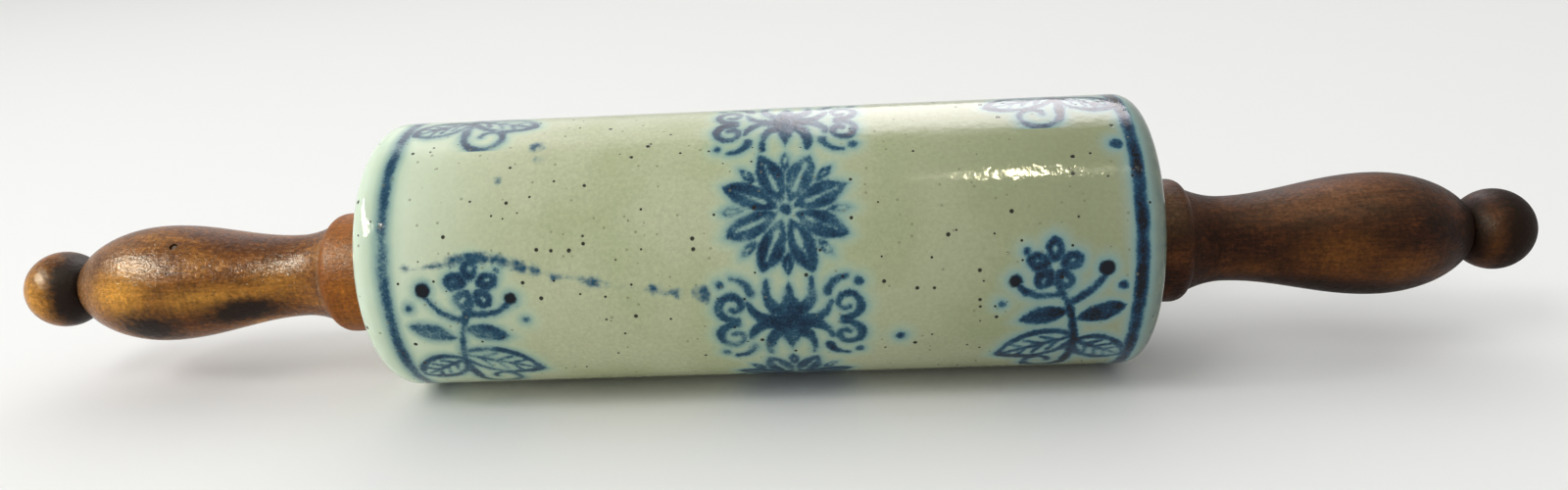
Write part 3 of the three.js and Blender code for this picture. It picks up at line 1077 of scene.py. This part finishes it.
def cobalt_over(looks, place, ends, painted_shade, colour):
    """Cobalt over the glaze: brush marks and stripes that bled into it, the smear and the heavy drops."""
    ragged = looks.minus(looks.noise(place, per_mm=0.7, detail=3.0, roughness=0.6), 0.5)
    hand = looks.minus(looks.noise(place, per_mm=0.16, detail=1.0), 0.5)
    shake = looks.plus(looks.times(ragged, BRUSH_RAGGED), looks.times(hand, BRUSH_UNSTEADY))
    edge = looks.plus(looks.painted("cobalt"), shake)
    line = looks.plus(looks.painted("stripes"), looks.times(hand, STRIPE_UNSTEADY))

    nearest = looks.math("MINIMUM", edge, line)
    halo = looks.times(looks.smooth(nearest, *HALO_EDGE), HALO_SHARE)
    # The halo darkens towards the right: painted shade
    mint = looks.blend(looks.painted("painted_shade"), srgb(GLAZE_MINT), srgb(MINT_IN_PAINTED_SHADE))
    colour = looks.blend(halo, colour, mint)
    bled = looks.times(looks.smooth(nearest, *BLEED_EDGE), BLEED_SHARE)
    colour = looks.blend(bled, colour, srgb(COBALT_WASH))

    wash = looks.spread(looks.noise(place, per_mm=0.13), low=0.42, high=0.96)
    grain = looks.spread(looks.noise(place, per_mm=1.3, detail=4.0, roughness=0.7), low=0.7, high=1.3)
    thinned = looks.minus(STRIPE_LOAD, looks.times(ends, STRIPE_THINNED))
    ring = looks.times(looks.smooth(line, *STRIPE_EDGE), thinned)
    ink = looks.math("MAXIMUM", looks.smooth(edge, *BRUSH_EDGE), ring)
    # The ink darkens towards the right: more ink, and painted shade
    loaded = looks.plus(looks.times(painted_shade, PAINTED_SHADE_LOAD), BRUSH_LOAD)
    load = looks.times(looks.times(ink, wash), looks.times(grain, loaded))

    blotted = looks.plus(looks.painted("smear"), looks.times(ragged, SMEAR_RAGGED))
    patchy = looks.spread(looks.noise(place, per_mm=0.3), low=0.3, high=1.2)
    wet = looks.times(looks.smooth(blotted, *SMEAR_EDGE), patchy)
    load = looks.math("MAXIMUM", load, looks.times(wet, SMEAR_LOAD))
    inks = (COBALT_WASH, COBALT_MID, COBALT_DEEP, COBALT_POOL)
    covered = looks.smooth(load, start=0.0, end=0.5)
    colour = looks.blend(covered, colour, looks.ramp(load, INK_LOADS, inks))
    pool = looks.smooth(looks.plus(looks.painted("drops"), ragged), *POOL_EDGE)
    return looks.blend(pool, colour, srgb(COBALT_POOL))


def glaze():
    """Clear glaze over pale stoneware, with cobalt that bled into it and iron specks."""
    looks = Looks("glazed_stoneware")
    place = looks.place()
    ends = looks.painted("ends")
    # Painted shade towards the right of the barrel
    painted_shade = looks.times(looks.painted("painted_shade"), PAINTED_SHADE_SHARE)
    colour = cobalt_over(looks, place, ends, painted_shade, glaze_body(looks, place, ends, painted_shade))

    faint = looks.times(looks.specks(place, *FAINT_SPECKS), FAINT_SPECK_SHARE)
    colour = looks.blend(faint, colour, srgb(FAINT_SPECK))
    spots = looks.math("MAXIMUM", looks.specks(place, *LARGE_SPECKS), looks.specks(place, *SMALL_SPECKS))
    colour = looks.blend(looks.times(spots, IRON_SPECK_SHARE), colour, srgb(IRON_SPECK))
    bare = looks.painted("bare")
    colour = looks.blend(bare, colour, srgb(BARE_CLAY))

    ripple = looks.times(looks.noise(place, per_mm=0.07), RIPPLE_RELIEF)
    peel = looks.times(looks.noise(place, per_mm=0.45, detail=3.0), PEEL_RELIEF)
    pits = looks.times(spots, PIT_RELIEF)
    grit = looks.times(looks.times(looks.noise(place, per_mm=1.2, detail=4.0), bare), GRIT_RELIEF)
    height = looks.plus(looks.plus(ripple, peel), looks.plus(pits, grit))
    uneven = looks.spread(looks.noise(place, per_mm=0.3, detail=3.0), low=0.05, high=0.1)
    rough = looks.plus(uneven, looks.times(bare, CLAY_ROUGHER))
    normal = looks.bump(height)
    return looks.finish(Base_Color=colour, Roughness=rough, Normal=normal, Specular_IOR_Level=GLAZE_SPECULAR)


def wood(name, tones, rubbed_and_lit, collar, roughness, specular, shift=(0.0, 0.0, 0.0)):
    """Turned wood with its grain along the pin, under varnish showing wear, and with painted shade, light
    and sheen.
    """
    looks = Looks(name)
    place = looks.place(shift=shift)
    cloud = looks.noise(looks.place(along=0.55, shift=shift), per_mm=0.075, detail=3.0)
    flame = looks.noise(looks.place(along=0.2, shift=shift), per_mm=0.28, detail=3.0)
    fibre = looks.noise(looks.place(along=0.09, shift=shift), per_mm=1.5, detail=4.0, roughness=0.65)
    flecks = looks.noise(looks.place(along=0.6, shift=shift), per_mm=1.1, detail=3.0, roughness=0.7)
    blotch = looks.noise(place, per_mm=0.5, detail=4.0, roughness=0.65)
    turning = looks.noise(looks.place(across=0.04, shift=shift), per_mm=1.0)

    tone = looks.plus(looks.times(cloud, CLOUD_TONE), looks.times(flame, FLAME_TONE))
    tone = looks.plus(tone, looks.times(fibre, FIBRE_TONE))
    tone = looks.plus(tone, looks.times(flecks, FLECK_TONE))
    colour = looks.ramp(looks.smooth(tone, start=0.68, end=1.4), WOOD_STOPS, tones)
    # Wear on the varnish, and painted light on the balls
    worn_and_lit = looks.times(looks.painted("rubbed_and_lit"), looks.spread(blotch, low=0.45, high=1.2))
    colour = looks.blend(worn_and_lit, colour, srgb(rubbed_and_lit))
    # Dull tan patches, and painted sheen and highlight
    dust_and_sheen_share = looks.times(looks.painted("dust_and_sheen"), looks.spread(blotch, low=0.3, high=0.9))
    colour = looks.blend(dust_and_sheen_share, colour, srgb(DUST_AND_SHEEN))
    fresh = looks.painted("fresh")
    colour = looks.blend(looks.times(fresh, FRESH_SHARE), colour, srgb(collar))

    shade = looks.times(looks.spread(turning, low=0.86, high=1.12), looks.spread(fibre, low=0.78, high=1.2))
    speckle = looks.noise(place, per_mm=1.05, detail=3.0, roughness=0.7)
    shade = looks.times(shade, looks.spread(speckle, low=0.64, high=1.32))
    colour = looks.blend(1.0, colour, shade, "MULTIPLY")
    pores = looks.noise(looks.place(along=0.2, shift=shift), per_mm=2.6)
    pores = looks.smooth(pores, start=0.6, end=0.74)
    colour = looks.blend(looks.times(pores, PORE_SHARE), colour, srgb(GRIME_AND_SHADE))
    mixed = looks.plus(blotch, looks.times(fibre, GRIME_AND_SHADE_FIBRE))
    uneven = looks.times(looks.minus(mixed, GRIME_AND_SHADE_MIDDLE), GRIME_AND_SHADE_UNEVEN)
    # Stains and soiling, and painted shade at the grooves, on the balls and over parts of the bulbs
    dirt_and_shade = looks.smooth(looks.plus(looks.painted("grime_and_shade"), uneven), start=0.05, end=1.3)
    colour = looks.blend(looks.times(dirt_and_shade, GRIME_AND_SHADE_SHARE), colour, srgb(GRIME_AND_SHADE))

    relief = looks.plus(looks.times(flecks, FLECK_RELIEF), looks.times(pores, PORE_RELIEF))
    relief = looks.plus(relief, looks.times(blotch, BLOTCH_RELIEF))
    height = looks.plus(relief, looks.times(turning, TURNING_RELIEF))
    dull = looks.times(looks.math("MAXIMUM", dirt_and_shade, fresh), WEAR_ROUGHER)
    rough = looks.plus(looks.spread(flecks, low=roughness, high=roughness + FLECKS_ROUGHER), dull)
    normal = looks.bump(height)
    return looks.finish(Base_Color=colour, Roughness=rough, Normal=normal, Specular_IOR_Level=specular)


def bare_wood():
    """The rod: plain turned wood that was never varnished."""
    looks = Looks("plain_wood")
    fibre = looks.noise(looks.place(along=0.05, across=2.0), per_mm=1.0, detail=4.0, roughness=0.65)
    cloud = looks.noise(looks.place(along=0.2), per_mm=0.08)
    tone = looks.plus(looks.times(fibre, ROD_FIBRE_TONE), looks.times(cloud, ROD_CLOUD_TONE))
    colour = looks.blend(looks.smooth(tone, start=0.42, end=0.85), srgb(ROD_DEEP), srgb(ROD_PALE))
    rough = looks.spread(fibre, low=0.55, high=0.8)
    grain = looks.bump(looks.times(fibre, ROD_RELIEF))
    return looks.finish(Base_Color=colour, Roughness=rough, Normal=grain)


def iron():
    """Dull darkened iron with a little rust."""
    looks = Looks("iron_wire")
    place = looks.place()
    rust = looks.smooth(looks.noise(place, per_mm=1.4, detail=3.0), start=0.45, end=0.7)
    colour = looks.blend(rust, srgb(IRON_DARK), srgb(IRON_RUST))
    grain = looks.bump(looks.times(looks.noise(place, per_mm=4.0, detail=3.0), IRON_RELIEF))
    rough = looks.spread(rust, low=0.45, high=0.85)
    return looks.finish(Base_Color=colour, Roughness=rough, Metallic=IRON_METALLIC, Normal=grain)


# Stage and light


def make_floor():
    """A wide pale floor."""
    corners = [(-1, -1), (1, -1), (1, 1), (-1, 1)]
    mesh = bpy.data.meshes.new("floor")
    mesh.from_pydata([(x * FLOOR_HALF, y * FLOOR_HALF, 0.0) for x, y in corners], [], [(0, 1, 2, 3)])
    floor = bpy.data.objects.new("floor", mesh)
    bpy.context.scene.collection.objects.link(floor)
    looks = Looks("floor")
    colour = srgb(FLOOR_PALE)
    mesh.materials.append(looks.finish(Base_Color=colour, Roughness=FLOOR_ROUGHNESS, Specular_IOR_Level=0.0))


def make_world():
    """Soft light from all round, seen as a pale backdrop by the camera and in reflections."""
    world = bpy.data.worlds.new("studio")
    bpy.context.scene.world = world
    world.use_nodes = True
    nodes = Nodes(world.node_tree)
    towards = nodes.add("ShaderNodeTexCoord", {}).outputs["Generated"]
    sockets = {0: towards, 1: SKY_TOWARDS}
    facing = nodes.add("ShaderNodeVectorMath", sockets, operation="DOT_PRODUCT").outputs["Value"]
    light = nodes.tree.nodes["Background"]
    nodes.feed(light.inputs["Color"], (1.0, 1.0, 1.0, 1.0))
    nodes.feed(light.inputs["Strength"], nodes.ranged(facing, *SKY_RANGE, *SKY_LIGHT))
    seen = nodes.add("ShaderNodeBackground", {"Color": srgb(BACKDROP)})
    rays = nodes.add("ShaderNodeLightPath", {}).outputs
    shown = nodes.math("MAXIMUM", rays["Is Camera Ray"], rays["Is Glossy Ray"])
    shown = nodes.math("MAXIMUM", shown, rays["Is Transmission Ray"])
    mix = nodes.add("ShaderNodeMixShader", {0: shown, 1: light.outputs[0], 2: seen.outputs[0]})
    nodes.feed(nodes.tree.nodes["World Output"].inputs["Surface"], mix.outputs[0])


def make_lamp(name, at, size, watts, colour=(1.0, 1.0, 1.0), aim=LAMP_AIM):
    """A flat soft lamp that faces a point, in metres."""
    lamp = bpy.data.lights.new(name, "AREA")
    lamp.shape = "RECTANGLE"
    lamp.size, lamp.size_y = size
    lamp.energy = watts
    lamp.color = colour
    holder = bpy.data.objects.new(name, lamp)
    holder.location = at
    holder.rotation_euler = (Vector(aim) - Vector(at)).to_track_quat("-Z", "Y").to_euler()
    bpy.context.scene.collection.objects.link(holder)
    return holder


def make_lights():
    """Soft lamps that light the pin, and lamps and a strip that only show as reflections."""
    for lamp in SOFT_LAMPS:
        make_lamp(*lamp).visible_glossy = False
    for lamp in SHOWN_LAMPS:
        make_lamp(*lamp).visible_diffuse = False
    make_strip()


def make_strip():
    """The strip, which only shows as a reflection: brighter upwards, soft at its top, dim to one side."""
    low, high = (math.radians(height) for height in STRIP_HEIGHT)
    middle = (low + high) / 2
    at = (STRIP_AT, STRIP_DISTANCE * math.cos(middle), STRIP_DISTANCE * math.sin(middle))
    tall = 2 * STRIP_DISTANCE * math.tan((high - low) / 2)
    watts = math.pi * STRIP_WIDTH * tall
    strip = make_lamp("bright_strip", at, (STRIP_WIDTH, tall), watts, STRIP_COLOUR)
    strip.visible_diffuse = False
    strip.data.use_nodes = True
    nodes = Nodes(strip.data.node_tree)
    here = nodes.add("ShaderNodeNewGeometry", {}).outputs["Parametric"]
    place = nodes.add("ShaderNodeSeparateXYZ", {0: here}).outputs
    lit = nodes.smooth(place["X"], *STRIP_DIM_FROM, low=STRIP_DIM_SHARE)
    fade = nodes.smooth(place["Y"], start=1.0, end=1.0 - STRIP_FADE)
    soft = nodes.times(lit, nodes.times(fade, fade))
    bright = nodes.ranged(place["Y"], 0.0, 1.0, *STRIP_LIGHT)
    nodes.feed(nodes.tree.nodes["Emission"].inputs["Strength"], nodes.times(soft, bright))


make_camera()
make_world()
make_lights()
make_floor()
make_barrel()
golden = wood("golden_wood", GOLDEN, GOLDEN_RUBBED_AND_LIT, COLLAR_ORANGE, GOLDEN_ROUGHNESS, GOLDEN_SPECULAR)
# The right handle's wood: darker partly in its own colour and partly by painted shade
brown = wood("brown_wood", BROWN_PARTLY_SHADED, BROWN_RUBBED_AND_LIT, BROWN_PARTLY_SHADED[2], BROWN_ROUGHNESS, BROWN_SPECULAR, BROWN_SHIFT)
make_handle("left_handle", -1, LEFT_DROP, LEFT_DROOP, golden)
make_handle("right_handle", 1, 0.0, 0.0, brown)
cad_looks = {"axle_rod": bare_wood(), "left_handle_brad": iron(), "right_handle_brad": iron()}
for node, material in cad_looks.items():
    slots = frame["nodes"][node].data.materials
    slots.clear()
    slots.append(material)

bpy.context.scene.view_settings.view_transform = "Standard"
